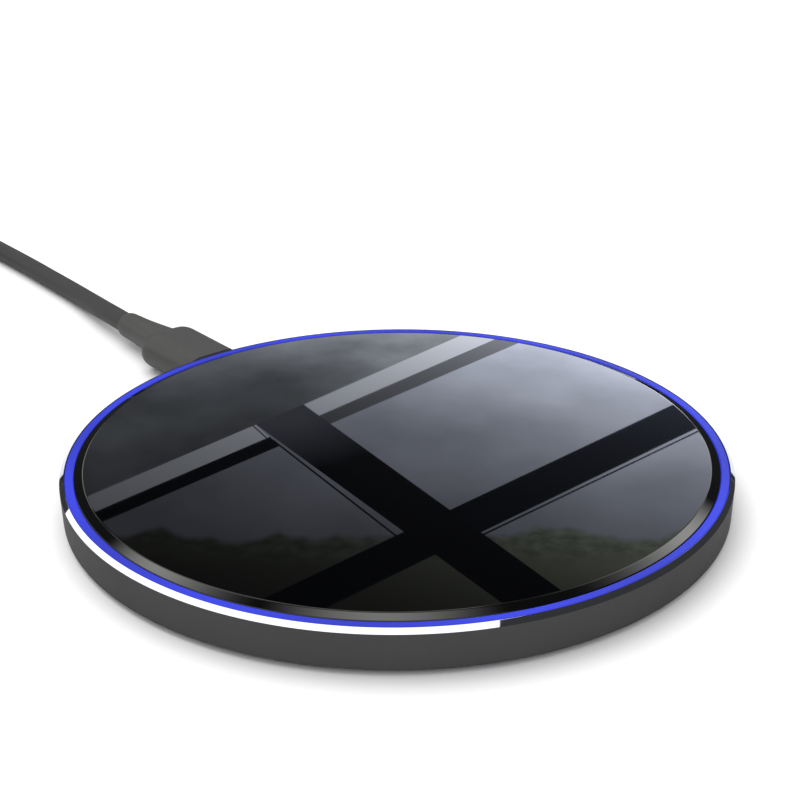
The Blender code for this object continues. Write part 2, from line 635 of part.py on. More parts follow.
def make_plug():
    """USB-C plug: steel shell, moulded core, overmould and bend relief."""
    shell_back = PLUG_BODY_FRONT + 3.0 * MM
    outer = rounded_outline(PLUG_WIDTH, PLUG_THICKNESS, PLUG_THICKNESS / 2)
    hollow_width = PLUG_WIDTH - 2 * PLUG_SKIN
    hollow_thickness = PLUG_THICKNESS - 2 * PLUG_SKIN
    hollow = rounded_outline(hollow_width, hollow_thickness, hollow_thickness / 2)
    prism("plug_shell", [outer, hollow], PLUG_TIP, shell_back, STEEL)

    core_gap = 0.1 * MM
    core_thickness = hollow_thickness - core_gap
    core = rounded_outline(hollow_width - core_gap, core_thickness, core_thickness / 2)
    core_body = as_mesh(prism("plug_core", [core], PLUG_TIP + 0.1 * MM, shell_back, CHIP_BLACK))
    core_body.data.materials.append(CHIP_BLACK)
    mouth_size = (TONGUE_WIDTH + 0.2 * MM, 2 * (TONGUE_TIP + 0.4 * MM - PLUG_TIP), TONGUE_THICKNESS + 0.25 * MM)
    mouth = box("core_mouth", mouth_size, (0.0, PLUG_TIP, PORT_HEIGHT), None, group=CUTTERS)
    combine(core_body, mouth, "DIFFERENCE")

    width, thickness = PLUG_BODY_WIDTH, PLUG_BODY_THICKNESS
    front_width = width - PLUG_BODY_TAPER
    full = thickness / 2
    sections = (
        (PLUG_BODY_FRONT, front_width - 0.8 * MM, thickness - 0.8 * MM, full - 0.4 * MM),
        (PLUG_BODY_FRONT + 0.15 * MM, front_width - 0.3 * MM, thickness - 0.3 * MM, full - 0.15 * MM),
        (PLUG_BODY_FRONT + 0.5 * MM, front_width, thickness, full),
        (PLUG_BODY_BACK - 2.4 * MM, width, thickness, full),
        (PLUG_BODY_BACK - 1.2 * MM, width - 0.4 * MM, thickness - 0.1 * MM, full - 0.05 * MM),
        (PLUG_BODY_BACK - 0.4 * MM, width - 1.4 * MM, thickness - 0.5 * MM, full - 0.25 * MM),
        (PLUG_BODY_BACK, width - 2.8 * MM, thickness - 0.9 * MM, full - 0.45 * MM),
    )
    body = loft("plug_body", sections, GREY_PLASTIC, 0.0, PORT_HEIGHT)
    pocket = port_cutter("plug_pocket", PLUG_WIDTH + 0.1 * MM, PLUG_THICKNESS + 0.1 * MM,
                         PLUG_BODY_FRONT - 1.0 * MM, shell_back + 0.1 * MM)
    combine(body, pocket, "DIFFERENCE")

    start = PLUG_BODY_BACK + 0.05 * MM
    relief_sections = (
        (start, 7.7 * MM, 5.25 * MM, 2.6 * MM),
        (start + 2.0 * MM, 7.0 * MM, 5.2 * MM, 2.6 * MM),
        (start + 5.0 * MM, 6.15 * MM, 5.1 * MM, 2.55 * MM),
        (start + 8.5 * MM, 5.5 * MM, 5.0 * MM, 2.5 * MM),
        (RELIEF_END - 1.2 * MM, 5.05 * MM, 4.9 * MM, 2.45 * MM),
        (RELIEF_END - 0.3 * MM, 4.8 * MM, 4.7 * MM, 2.35 * MM),
        (RELIEF_END, 4.2 * MM, 4.2 * MM, 2.1 * MM),
    )
    loft("plug_strain_relief", relief_sections, GREY_PLASTIC, 0.0, PORT_HEIGHT)


def make_cord():
    """The lead, the coil it is stored in, the strap round the coil and the short free end."""
    lead = smooth_route([Vector(point) * MM for point in LEAD_ROUTE_MM], CORD_STEP)
    tube("power_cord", lead, CORD_RADIUS, CORD_JACKET)
    tail = smooth_route([Vector(point) * MM for point in TAIL_ROUTE_MM], CORD_STEP)
    tube("power_cord_tail", tail, CORD_RADIUS, CORD_JACKET)

    outer = HANK_OUTER_TURN + CORD_RADIUS
    inner = HANK_INNER_TURN - CORD_RADIUS
    soft = CORD_RADIUS * 0.6
    profile = (
        (outer - soft, HANK_HEIGHT),
        (outer, HANK_HEIGHT - soft),
        (outer, soft),
        (outer - soft, 0.0),
        (inner + soft, 0.0),
        (inner, soft),
        (inner, HANK_HEIGHT - soft),
        (inner + soft, HANK_HEIGHT),
    )
    coil = turned("power_cord_coil", profile, CORD_JACKET, 48)
    coil.location = (*HANK_CENTRE, 0.0)

    inner_bulge = inner - math.sqrt(inner**2 - (STRAP_WIDTH / 2) ** 2)
    strap_y = HANK_CENTRE[1] + (outer + inner - inner_bulge) / 2
    radial = outer - inner + inner_bulge + 2 * (STRAP_GAP + STRAP_SKIN)
    groove_size = (STRAP_WIDTH + 2 * STRAP_GAP, radial + 2 * MM, 2 * (STRAP_SKIN + STRAP_GAP))
    groove = box("strap_groove", groove_size, (HANK_CENTRE[0], strap_y, 0.0), None, group=CUTTERS)
    combine(coil, groove, "DIFFERENCE")

    tall = HANK_HEIGHT + STRAP_GAP + STRAP_SKIN
    band = rounded_outline(radial, tall, 1.2 * MM)
    opening = rounded_outline(radial - 2 * STRAP_SKIN, tall - 2 * STRAP_SKIN, 0.7 * MM)
    strap = prism("coil_tie", [band, opening], -STRAP_WIDTH / 2, STRAP_WIDTH / 2, TIE_BLACK)
    strap.rotation_euler = (math.pi / 2, 0.0, 90 * DEG)
    strap.location = (HANK_CENTRE[0], strap_y, tall / 2)


def far_prism(name, outlines, start, end, paint, height=FAR_PLUG_HEIGHT, group=None):
    """A prism on the far plug's axis."""
    thing = prism(name, outlines, start, end, paint, group)
    thing.location.x = FAR_PLUG_X
    thing.location.z = height
    return thing


def make_far_plug():
    """USB-A plug: steel shell round a tongue with four contacts, overmould and bend relief."""
    shell_back = FAR_BODY_FRONT + 4.0 * MM
    outer = rounded_outline(FAR_SHELL_WIDTH, FAR_SHELL_THICKNESS, 0.5 * MM, 3)
    inner_width = FAR_SHELL_WIDTH - 2 * FAR_SHELL_SKIN
    inner_thickness = FAR_SHELL_THICKNESS - 2 * FAR_SHELL_SKIN
    inner = rounded_outline(inner_width, inner_thickness, 0.25 * MM, 3)
    far_prism("usb_a_shell", [outer, inner], FAR_SHELL_FRONT, shell_back, STEEL)

    tongue_thickness = 1.84 * MM
    tongue_height = FAR_PLUG_HEIGHT - inner_thickness / 2 + 0.05 * MM + tongue_thickness / 2
    tongue = rounded_outline(inner_width - 0.1 * MM, tongue_thickness, 0.2 * MM, 3)
    far_prism("usb_a_tongue", [tongue], FAR_SHELL_FRONT + 0.5 * MM, shell_back, CHIP_BLACK, tongue_height)
    contact_size = (1.0 * MM, 7.5 * MM, 0.15 * MM)
    contact_height = tongue_height + tongue_thickness / 2 + 0.05 * MM + contact_size[2] / 2
    for number, offset in enumerate((-3.5, -1.0, 1.0, 3.5), start=1):
        place = (FAR_PLUG_X + offset * MM, FAR_SHELL_FRONT + 5.4 * MM, contact_height)
        box(f"usb_a_contact_{number}", contact_size, place, GOLD)

    width, thickness = FAR_BODY_WIDTH, FAR_BODY_THICKNESS
    corner = 2.2 * MM
    sections = (
        (FAR_BODY_FRONT, width - 0.8 * MM, thickness - 0.8 * MM, corner - 0.4 * MM),
        (FAR_BODY_FRONT + 0.5 * MM, width, thickness, corner),
        (FAR_BODY_BACK - 2.5 * MM, width, thickness, corner),
        (FAR_BODY_BACK - 1.0 * MM, width - 1.2 * MM, thickness - 0.5 * MM, corner),
        (FAR_BODY_BACK, width - 4.0 * MM, thickness - 1.4 * MM, corner),
    )
    body = loft("usb_a_body", sections, GREY_PLASTIC, FAR_PLUG_X, FAR_PLUG_HEIGHT)
    pocket_outline = rounded_outline(FAR_SHELL_WIDTH + 0.1 * MM, FAR_SHELL_THICKNESS + 0.1 * MM, 0.5 * MM, 3)
    pocket = far_prism("usb_a_pocket", [pocket_outline], FAR_BODY_FRONT - 1 * MM, shell_back + 0.1 * MM, None,
                       group=CUTTERS)
    combine(body, as_mesh(pocket), "DIFFERENCE")

    start = FAR_BODY_BACK + 0.05 * MM
    relief_sections = (
        (start, 8.0 * MM, 5.6 * MM, 2.8 * MM),
        (start + 3.0 * MM, 6.6 * MM, 5.3 * MM, 2.6 * MM),
        (start + 7.0 * MM, 5.4 * MM, 4.9 * MM, 2.4 * MM),
        (FAR_RELIEF_START - 0.6 * MM, 4.8 * MM, 4.7 * MM, 2.3 * MM),
        (FAR_RELIEF_START, 4.2 * MM, 4.2 * MM, 2.1 * MM),
    )
    loft("usb_a_strain_relief", relief_sections, GREY_PLASTIC, FAR_PLUG_X, FAR_PLUG_HEIGHT)


def shade_smooth():
    """Round surfaces shade smooth, and real edges stay sharp."""
    for thing in PARTS.objects:
        if thing.type == "MESH":
            thing.data.shade_smooth()
            thing.data.set_sharp_from_angle(angle=SHARP_ANGLE)


make_glass()
make_light_guide()
make_rim()
make_base()
make_feet_and_screws()
make_inner_frame()
make_board()
make_electronics()
make_coil()
make_socket()
make_plug()
make_cord()
make_far_plug()
shade_smooth()
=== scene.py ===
"""Looks of the round wireless charging pad: fine surfaces, materials, the whole lead, and a studio."""

import json
import math

import bmesh
import bpy
from mathutils import Matrix, Vector


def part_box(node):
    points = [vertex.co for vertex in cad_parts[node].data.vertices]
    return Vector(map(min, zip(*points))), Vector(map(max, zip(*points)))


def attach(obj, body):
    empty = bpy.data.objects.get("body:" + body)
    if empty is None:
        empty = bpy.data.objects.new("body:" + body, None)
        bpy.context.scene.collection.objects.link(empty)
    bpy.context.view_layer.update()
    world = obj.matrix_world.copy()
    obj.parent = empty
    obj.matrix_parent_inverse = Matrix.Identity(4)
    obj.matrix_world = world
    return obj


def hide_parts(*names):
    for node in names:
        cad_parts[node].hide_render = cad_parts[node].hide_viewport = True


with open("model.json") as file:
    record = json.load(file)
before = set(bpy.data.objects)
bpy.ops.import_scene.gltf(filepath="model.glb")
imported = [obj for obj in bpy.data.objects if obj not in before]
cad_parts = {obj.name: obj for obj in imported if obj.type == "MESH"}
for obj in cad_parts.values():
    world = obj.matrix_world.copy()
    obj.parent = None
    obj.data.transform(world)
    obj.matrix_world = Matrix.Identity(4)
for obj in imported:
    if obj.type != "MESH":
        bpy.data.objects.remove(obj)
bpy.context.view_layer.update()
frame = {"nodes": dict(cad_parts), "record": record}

MM = 0.001
DEG = math.pi / 180
STEPS = 256
GAP = 0.1 * MM

# The camera: how it stands to the pad
VIEW_AZIMUTH = -40.17 * DEG
CAMERA_PITCH = 24.01 * DEG
CAMERA_ROLL = -0.006
CAMERA_PLACE = (-0.12513, -0.14898, 0.10109)
CAMERA_LENS = 64.385
CAMERA_SENSOR = 36.0

# The cord, in millimetres where it lies loose; the coil's turns are worked out
CORD_DIAMETER = 3.9 * MM
CORD_RADIUS = CORD_DIAMETER / 2
COIL_CENTRE = (-22.0 * MM, 180.0 * MM)
COIL_OUTER_TURN = 26.2 * MM
COIL_STEP = 15.0
INWARD_STEP = 265
OUTWARD_STEP = 185
CLIMB = 225
STEP_WIDTH = 40.0
TIE_AZIMUTH = 90.0
TIE_SKIN = 0.3 * MM
PLUG_REACH = 0.2 * MM
LEAD_ROUTE_MM = (
    (0.0, 79.9, 3.5), (0.35, 84.0, 3.42), (0.7, 88.0, 3.25), (1.5, 94.0, 2.8), (2.4, 100.5, 2.3),
    (3.1, 108.0, 2.0), (3.5, 118.0, 1.95), (3.85, 128.0, 1.95), (4.1, 142.0, 1.95), (4.2, 154.0, 1.95),
    (4.2, 164.8, 1.95), (4.2, 172.0, 1.95),
)
TAIL_ROUTE_MM = (
    (-48.2, 174.0, 5.8), (-48.2, 169.0, 5.3), (-48.2, 164.8, 4.4), (-48.2, 160.0, 3.2), (-48.3, 155.0, 2.25),
    (-48.4, 150.0, 1.95), (-48.5, 145.0, 2.4), (-48.6, 140.0, 3.5), (-48.6, 136.0, 4.0),
)

# The studio: a floor, soft daylight, and what mirrors see
FLOOR_REACH = 12.0
DAYLIGHT = 1.15
BACKDROP = 1.0
ROOM_IN_MIRRORS = 0.055
KEY_STRENGTH = 2.0
KEY_SPREAD = 60 * DEG
KEY_TOWARD = (-0.35, 0.45, 1.0)
WINDOW_SCALE = 10.0
WINDOW_SPACING = 0.01 * MM


# ---------------------------------------------------------------- shapes

def finished(name, builder, smooth_angle=30):
    """A scene object from a bmesh, shaded smooth up to an angle."""
    bmesh.ops.recalc_face_normals(builder, faces=builder.faces)
    mesh = bpy.data.meshes.new(name)
    builder.to_mesh(mesh)
    builder.free()
    mesh.shade_smooth()
    mesh.set_sharp_from_angle(angle=smooth_angle * DEG)
    piece = bpy.data.objects.new(name, mesh)
    bpy.context.scene.collection.objects.link(piece)
    return piece


def softened(corners, closed=True, arc_steps=5):
    """A profile of (radius, height, rounding) corners as points, each rounded corner an arc.

    A point close by on either side of each arc keeps the shading of the faces beyond it flat.
    """
    points = []
    count = len(corners)
    for index, (radius, height, rounding) in enumerate(corners):
        here = Vector((radius, height))
        open_end = not closed and index in (0, count - 1)
        if rounding == 0 or open_end:
            points.append(here)
            continue
        before = Vector(corners[index - 1][:2]) - here
        after = Vector(corners[(index + 1) % count][:2]) - here
        half = before.angle(after) / 2
        reach = min(rounding / math.tan(half), 0.45 * before.length, 0.45 * after.length)
        hold = 1.1 * reach
        points.append(here + before.normalized() * hold)
        start = here + before.normalized() * reach
        end = here + after.normalized() * reach
        for step in range(arc_steps + 1):
            t = step / arc_steps
            points.append(start * (1 - t) ** 2 + here * 2 * t * (1 - t) + end * t**2)
        points.append(here + after.normalized() * hold)
    return points


def turned(name, corners, closed=True, steps=STEPS, centre=(0.0, 0.0), smooth_angle=30):
    """A solid of revolution about an upright axis, from a profile of (radius, height, rounding) corners."""
    builder = bmesh.new()
    profile = softened(corners, closed)
    verts = [builder.verts.new((point.x, 0.0, point.y)) for point in profile]
    edges = [builder.edges.new(pair) for pair in zip(verts, verts[1:])]
    if closed:
        edges.append(builder.edges.new((verts[-1], verts[0])))
    bmesh.ops.spin(builder, geom=verts + edges, cent=(0, 0, 0), axis=(0, 0, 1), angle=2 * math.pi,
                   steps=steps, use_merge=True)
    bmesh.ops.remove_doubles(builder, verts=builder.verts, dist=0.000001)
    bmesh.ops.translate(builder, verts=builder.verts, vec=(*centre, 0.0))
    return finished(name, builder, smooth_angle)


def rounded_outline(width, height, corner, corner_points=9):
    """Points round a rectangle whose corners are arcs."""
    points = []
    for quarter in range(4):
        side_x = 1 if quarter in (0, 3) else -1
        side_y = 1 if quarter in (0, 1) else -1
        for step in range(corner_points):
            angle = (quarter + step / (corner_points - 1)) * math.pi / 2
            x = side_x * (width / 2 - corner) + corner * math.cos(angle)
            y = side_y * (height / 2 - corner) + corner * math.sin(angle)
            points.append(Vector((x, y)))
    return points


def eased(knots, divisions):
    """Points on the smooth curve through vectors of any length, with so many divisions a span."""
    ends = [2 * knots[0] - knots[1], *knots, 2 * knots[-1] - knots[-2]]
    dense = []
    for before, start, end, after in zip(ends, ends[1:], ends[2:], ends[3:]):
        for part in range(divisions):
            t = part / divisions
            pull = (end - before) * t + (2 * before - 5 * start + 4 * end - after) * t**2
            dense.append(start + 0.5 * (pull + (3 * start - before - 3 * end + after) * t**3))
    dense.append(knots[-1])
    return dense


def skin(builder, loops, close_ends=True):
    """Faces between loops of as many points each."""
    rows = [[builder.verts.new(point) for point in loop] for loop in loops]
    for near, far in zip(rows, rows[1:]):
        for index in range(len(near)):
            after = (index + 1) % len(near)
            builder.faces.new((near[index], near[after], far[after], far[index]))
    if close_ends:
        builder.faces.new(rows[0])
        builder.faces.new(rows[-1])
    return rows


def lofted(name, sections, axis, divisions=5):
    """A moulded body along Y, skinned over (y, width, height, corner) sections. The axis is (x, z)."""
    builder = bmesh.new()
    loops = []
    for y, width, height, corner in eased([Vector(section) for section in sections], divisions):
        corner = min(corner, width / 2 - 0.01 * MM, height / 2 - 0.01 * MM)
        outline = rounded_outline(width, height, corner)
        loops.append([Vector((axis[0] + point.x, y, axis[1] + point.y)) for point in outline])
    skin(builder, loops)
    return finished(name, builder)


def sleeve(name, outer, inner, start, end, axis, lip=0.12 * MM):
    """A thin-walled metal shell along Y, open at both ends, its edges eased by lip."""
    builder = bmesh.new()
    steps = (
        (start + lip, outer, 0.0), (start + 0.3 * lip, outer, 0.3 * lip), (start, outer, lip),
        (start, inner, -lip * 0.3), (start + lip, inner, 0.0), (end, inner, 0.0), (end, outer, 0.0),
    )
    rows = []
    for y, (width, height, corner), shrink in steps:
        outline = rounded_outline(width - 2 * shrink, height - 2 * shrink, max(corner - shrink, 0.05 * MM))
        rows.append([Vector((axis[0] + point.x, y, axis[1] + point.y)) for point in outline])
    made = skin(builder, rows, close_ends=False)
    for index in range(len(made[0])):
        after = (index + 1) % len(made[0])
        builder.faces.new((made[-1][index], made[-1][after], made[0][after], made[0][index]))
    return finished(name, builder)


def block(name, low, high):
    """A box between two corners."""
    builder = bmesh.new()
    bmesh.ops.create_cube(builder, size=1.0)
    size = Vector(high) - Vector(low)
    bmesh.ops.scale(builder, vec=size, verts=builder.verts)
    bmesh.ops.translate(builder, verts=builder.verts, vec=(Vector(low) + Vector(high)) / 2)
    return finished(name, builder)


def cut(piece, *tools):
    """Cut tools out of a piece for good."""
    for tool in tools:
        step = piece.modifiers.new("cut", "BOOLEAN")
        step.operation = "DIFFERENCE"
        step.object = tool
        step.solver = "EXACT"
    bpy.context.view_layer.update()
    graph = bpy.context.evaluated_depsgraph_get()
    mesh = bpy.data.meshes.new_from_object(piece.evaluated_get(graph))
    piece.modifiers.clear()
    piece.data = mesh
    mesh.shade_smooth()
    mesh.set_sharp_from_angle(angle=30 * DEG)
    for tool in tools:
        bpy.data.objects.remove(tool, do_unlink=True)
    return piece


def stands_for(piece, body, slot, *nodes):
    """A piece that takes the place of CAD nodes, on their body; its slot is not used."""
    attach(piece, body)
    if nodes:
        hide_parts(*nodes)
    return piece


# ---------------------------------------------------------------- materials

class Paint:
    """A Principled material built up from nodes."""

    def __init__(self, name, colour, roughness, metallic=0.0, **sockets):
        self.material = bpy.data.materials.new(name)
        self.material.use_nodes = True
        self.tree = self.material.node_tree
        self.shader = self.tree.nodes["Principled BSDF"]
        self.set("Base Color", (*colour, 1.0))
        self.set("Roughness", roughness)
        self.set("Metallic", metallic)
        for socket, value in sockets.items():
            self.set(socket.replace("_", " "), value)
        self.where = self.node("ShaderNodeTexCoord").outputs["Object"]

    def set(self, socket, value):
        self.shader.inputs[socket].default_value = value

    def node(self, kind, inputs=None, **settings):
        """A node with its settings, and with inputs that are values or other nodes' outputs."""
        made = self.tree.nodes.new(kind)
        for key, value in settings.items():
            setattr(made, key, value)
        for key, value in (inputs or {}).items():
            if isinstance(value, bpy.types.NodeSocket):
                self.tree.links.new(value, made.inputs[key])
            else:
                made.inputs[key].default_value = value
        return made

    def feed(self, output, socket):
        self.tree.links.new(output, self.shader.inputs[socket])

    def noise(self, scale, detail=3.0, where=None, roughness=0.5):
        """Soft noise from 0 to 1."""
        inputs = {"Vector": where or self.where, "Scale": scale, "Detail": detail, "Roughness": roughness}
        return self.node("ShaderNodeTexNoise", inputs).outputs["Fac"]

    def spread(self, value, low, high, start=0.3, end=0.7):
        """A value mapped from start-end to low-high."""
        inputs = {"Value": value, "From Min": start, "From Max": end, "To Min": low, "To Max": high}
        return self.node("ShaderNodeMapRange", inputs).outputs["Result"]

    def math(self, operation, first, second=0.0):
        return self.node("ShaderNodeMath", {0: first, 1: second}, operation=operation).outputs[0]

    def mixed(self, amount, first, second):
        """A colour between two."""
        mix = self.node("ShaderNodeMix", data_type="RGBA")
        for index, value in ((0, amount), (6, first), (7, second)):
            if isinstance(value, bpy.types.NodeSocket):
                self.tree.links.new(value, mix.inputs[index])
            else:
                mix.inputs[index].default_value = value if index == 0 else (*value, 1.0)
        return mix.outputs[2]

    def bump(self, height, depth, strength=1.0):
        """Surface relief, depth in metres."""
        inputs = {"Height": height, "Distance": depth, "Strength": strength}
        self.feed(self.node("ShaderNodeBump", inputs).outputs["Normal"], "Normal")
        return self

    def vary(self, amount, first, second):
        """Base colour between two, following a noise or mask."""
        self.feed(self.mixed(amount, first, second), "Base Color")
        return self

    def rough(self, value, low, high):
        """Roughness that follows a noise."""
        self.feed(self.spread(value, low, high), "Roughness")
        return self


def glass_paint():
    """Black-backed glass: a clean mirror with the faintest haze."""
    paint = Paint("black_glass", (0.0008, 0.0008, 0.001), 0.01, IOR=1.5)
    haze = paint.noise(45, 4)
    paint.rough(haze, 0.004, 0.014)
    paint.vary(paint.noise(20), (0.0006, 0.0007, 0.0009), (0.0012, 0.0012, 0.0014))
    return paint.material


def light_paint():
    """Blue light guide, a touch brighter over each of its eight lights."""
    paint = Paint("blue_light_guide", (0.004, 0.005, 0.03), 0.4, Specular_IOR_Level=0.1)
    split = paint.node("ShaderNodeSeparateXYZ", {0: paint.where})
    angle = paint.math("ARCTAN2", split.outputs["Y"], split.outputs["X"])
    lobes = paint.math("COSINE", paint.math("MULTIPLY", paint.math("ADD", angle, 22.5 * DEG), 8.0))
    glow = paint.spread(lobes, 0.0, 1.0, -1.0, 1.0)
    paint.feed(paint.mixed(glow, (0.030, 0.043, 0.56), (0.039, 0.056, 0.76)), "Emission Color")
    paint.set("Emission Strength", 1.0)
    return paint.material


def satin_metal_paint():
    """Bead-blasted dark grey anodised metal."""
    paint = Paint("grey_anodised_aluminium", (0.05, 0.05, 0.05), 0.5, 0.35, Specular_IOR_Level=0.15,
                  Specular_Tint=(0.15, 0.15, 0.15, 1.0))
    grain = paint.noise(5200, 2)
    cloud = paint.noise(90, 3)
    paint.vary(cloud, (0.054, 0.054, 0.054), (0.062, 0.062, 0.0615))
    paint.rough(grain, 0.46, 0.58)
    return paint.bump(grain, 0.008 * MM, 0.6).material


def polished_metal_paint():
    """Diamond-cut bevel: bright metal with the finest turning marks."""
    paint = Paint("diamond_cut_bevel", (0.56, 0.58, 0.64), 0.02, 1.0)
    split = paint.node("ShaderNodeSeparateXYZ", {0: paint.where})
    wander = paint.math("MULTIPLY", paint.noise(60, 2), 0.0002)
    rings = paint.math("SINE", paint.math("MULTIPLY", paint.math("ADD", split.outputs["Z"], wander), 90000.0))
    paint.rough(paint.noise(300, 2), 0.012, 0.03)
    return paint.bump(rings, 0.0001 * MM, 0.5).material


def moulded_paint(name, dark, light, low, high, grain_scale=2600, depth=0.012 * MM):
    """Spark-textured moulded plastic or rubber, with worn lighter edges."""
    paint = Paint(name, dark, low, Specular_IOR_Level=0.25)
    grain = paint.noise(grain_scale, 3)
    cloud = paint.noise(70, 3)
    edge = paint.node("ShaderNodeNewGeometry").outputs["Pointiness"]
    wear = paint.math("MULTIPLY", paint.spread(edge, 0.0, 1.0, 0.51, 0.56), 0.35)
    tone = paint.math("ADD", paint.math("MULTIPLY", cloud, 0.65), wear)
    paint.vary(tone, dark, light)
    paint.rough(grain, low, high)
    return paint.bump(grain, depth, 0.7).material


def cord_paint():
    """Matt rubbery jacket: fine grain, with slight scuffs and dust."""
    paint = Paint("cord_jacket", (0.07, 0.07, 0.07), 0.6, Specular_IOR_Level=0.2)
    grain = paint.noise(3800, 2)
    scuffs = paint.noise(260, 5, roughness=0.65)
    paint.vary(paint.spread(scuffs, 0.0, 1.0), (0.029, 0.029, 0.029), (0.041, 0.041, 0.0405))
    paint.rough(scuffs, 0.52, 0.7)
    return paint.bump(grain, 0.01 * MM, 0.6).material


def strap_paint():
    """Woven hook-and-loop strap: crossing ribs and a dull nap."""
    paint = Paint("tie_strap", (0.03, 0.03, 0.035), 0.9, Sheen_Weight=0.4, Sheen_Roughness=0.5)
    split = paint.node("ShaderNodeSeparateXYZ", {0: paint.where})
    weft = paint.math("SINE", paint.math("MULTIPLY", split.outputs["X"], 14000.0))
    along = paint.math("ADD", split.outputs["Y"], split.outputs["Z"])
    warp = paint.math("SINE", paint.math("MULTIPLY", along, 11000.0))
    weave = paint.math("MULTIPLY", weft, warp)
    nap = paint.noise(3000, 3)
    paint.vary(nap, (0.018, 0.018, 0.021), (0.05, 0.05, 0.055))
    return paint.bump(paint.math("ADD", weave, nap), 0.05 * MM, 0.8).material


def steel_paint(name="plated_steel", colour=(0.62, 0.61, 0.59), low=0.16, high=0.3):
    """Drawn sheet steel under nickel: brushed one way, a little uneven."""
    paint = Paint(name, colour, low, 1.0)
    stretch = paint.node("ShaderNodeMapping", {"Vector": paint.where, "Scale": (1.0, 0.06, 1.0)})
    brush = paint.noise(9000, 3, stretch.outputs["Vector"])
    stain = paint.noise(160, 4)
    paint.rough(brush, low, high)
    paint.vary(stain, tuple(part * 0.86 for part in colour), colour)
    return paint.bump(brush, 0.003 * MM, 0.5).material


def board_paint():
    """Green solder mask over copper tracks."""
    paint = Paint("circuit_board", (0.02, 0.12, 0.05), 0.4)
    tracks = paint.node("ShaderNodeTexBrick", {"Vector": paint.where, "Scale": 420.0, "Mortar Size": 0.09})
    paint.vary(tracks.outputs["Fac"], (0.012, 0.1, 0.04), (0.04, 0.2, 0.07))
    paint.rough(paint.noise(900), 0.3, 0.45)
    return paint.bump(tracks.outputs["Fac"], 0.03 * MM, 0.6).material


def grainy_paint(name, dark, light, low, high, scale, metallic=0.0):
    """A plain industrial surface: two tones of one colour in fine grain."""
    paint = Paint(name, dark, low, metallic)
    grain = paint.noise(scale, 4)
    paint.vary(grain, dark, light)
    paint.rough(grain, low, high)
    return paint.bump(grain, 0.01 * MM, 0.4).material


GLASS = glass_paint()
LIGHT = light_paint()
SATIN = satin_metal_paint()
POLISHED = polished_metal_paint()
PLUG_PLASTIC = moulded_paint("plug_plastic", (0.038, 0.038, 0.0365), (0.058, 0.058, 0.056), 0.46, 0.6)
BLACK_PLASTIC = moulded_paint("black_plastic", (0.012, 0.012, 0.012), (0.03, 0.03, 0.03), 0.45, 0.65)
FOOT_RUBBER = moulded_paint("foot_rubber", (0.02, 0.02, 0.02), (0.045, 0.045, 0.045), 0.75, 0.9, 1800)
JACKET = cord_paint()
STRAP = strap_paint()
STEEL = steel_paint()
SCREW_STEEL = steel_paint("screw_steel", (0.22, 0.22, 0.24), 0.25, 0.4)
GOLD = steel_paint("gold", (0.85, 0.6, 0.2), 0.15, 0.28)
COPPER = grainy_paint("copper", (0.62, 0.2, 0.07), (0.85, 0.36, 0.14), 0.22, 0.4, 4000, 1.0)
FERRITE = grainy_paint("ferrite", (0.035, 0.033, 0.03), (0.07, 0.066, 0.06), 0.6, 0.8, 1500)
ADHESIVE = grainy_paint("adhesive", (0.6, 0.57, 0.45), (0.78, 0.75, 0.62), 0.4, 0.6, 500)
RESIN = grainy_paint("chip_resin", (0.016, 0.016, 0.018), (0.034, 0.034, 0.036), 0.5, 0.7, 2500)
CERAMIC = grainy_paint("ceramic", (0.32, 0.2, 0.11), (0.47, 0.31, 0.19), 0.4, 0.6, 3000)
LED_LENS = grainy_paint("led_lens", (0.6, 0.65, 0.55), (0.8, 0.83, 0.74), 0.15, 0.3, 1200)
BOARD = board_paint()
SLOT_PAINTS = {
    "black_glass": GLASS, "anodised_aluminium": SATIN, "light_guide": LIGHT, "black_plastic": BLACK_PLASTIC,
    "foot_rubber": FOOT_RUBBER, "screw_steel": SCREW_STEEL, "adhesive": ADHESIVE, "ferrite": FERRITE,
    "copper": COPPER, "circuit_board": BOARD, "chip_resin": RESIN, "plated_steel": STEEL,
    "ceramic": CERAMIC, "led_lens": LED_LENS, "plug_plastic": PLUG_PLASTIC, "cord_jacket": JACKET,
    "tie_strap": STRAP, "gold": GOLD,
}


def painted(piece, material):
    """Give a piece one material."""
    piece.data.materials.clear()
    piece.data.materials.append(material)
    return piece


# ---------------------------------------------------------------- camera

def make_camera():
    """Stand the camera to the left of the port, looking down across the pad."""
    ahead = Vector((-math.sin(VIEW_AZIMUTH), math.cos(VIEW_AZIMUTH), 0.0))
    level_right = Vector((ahead.y, -ahead.x, 0.0))
    look = ahead * math.cos(CAMERA_PITCH) - Vector((0, 0, math.sin(CAMERA_PITCH)))
    level_up = level_right.cross(look)
    right = level_right * math.cos(CAMERA_ROLL) + level_up * math.sin(CAMERA_ROLL)
    up = right.cross(look)
    data = bpy.data.cameras.new("camera")
    data.lens = CAMERA_LENS
    data.sensor_width = CAMERA_SENSOR
    data.clip_start = 0.005
    camera = bpy.data.objects.new("camera", data)
    bpy.context.scene.collection.objects.link(camera)
    turn = Matrix((right, up, -look)).transposed()
    camera.matrix_world = Matrix.Translation(CAMERA_PLACE) @ turn.to_4x4()
    bpy.context.scene.camera = camera


# ---------------------------------------------------------------- the lead

def step_up(angle, start, width=STEP_WIDTH):
    """From 0 to 1, smoothly, as the angle passes from start over the width."""
    t = min(1.0, max(0.0, (angle - start) / width))
    return t * t * (3 - 2 * t)


